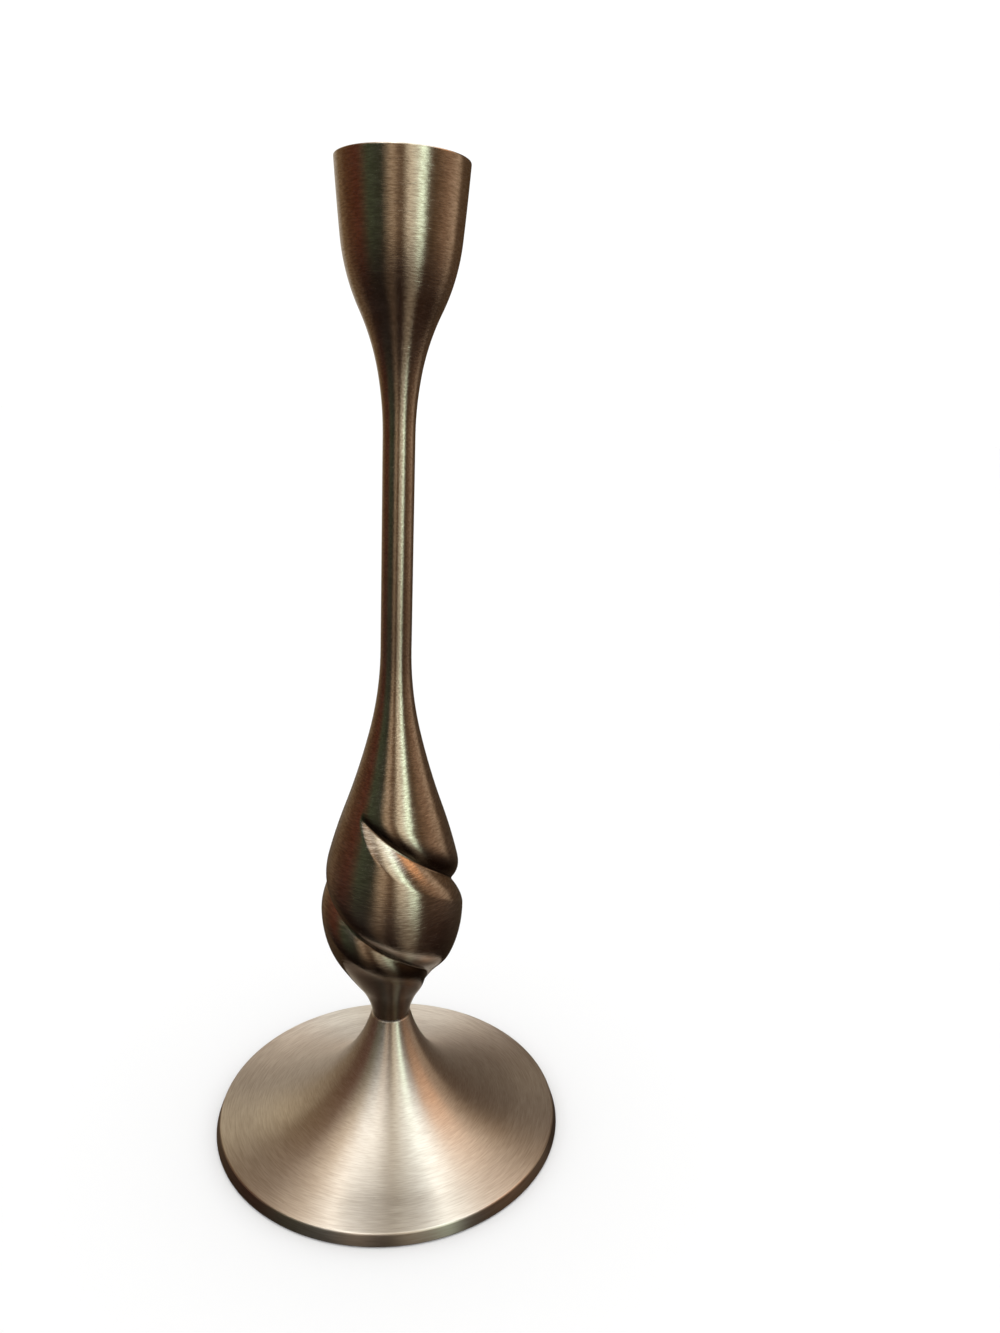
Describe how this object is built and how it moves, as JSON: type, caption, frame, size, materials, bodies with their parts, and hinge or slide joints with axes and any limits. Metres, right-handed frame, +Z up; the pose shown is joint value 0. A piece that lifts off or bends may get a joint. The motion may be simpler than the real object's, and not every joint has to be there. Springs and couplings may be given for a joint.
{
  "type": "spiral candle holder",
  "caption": "Tall candle holder for a taper candle: tulip cup on a thin stem over a twisted bud with a two-start spiral, standing on a hollow trumpet foot with a felt base.",
  "frame": {"origin": "centre of the felt pad's underside, on the surface that the holder stands on", "axes": "+Z up along the stem's axis, -Y towards the front, +X to the right seen from the front"},
  "size_m": [0.1156, 0.1156, 0.3],
  "materials": {
    "stem_metal": "satin brushed, warm nickel tone",
    "foot_metal": "satin brushed, warm nickel tone",
    "fastener_steel": "zinc plated",
    "felt": "pressed black felt"
  },
  "bodies": {
    "root": {"stem_casting": "stem_metal", "trumpet_foot": "foot_metal", "foot_stud": "fastener_steel", "flat_washer": "fastener_steel", "lock_washer": "fastener_steel", "hex_nut": "fastener_steel", "felt_pad": "felt"}
  },
  "joints": []
}
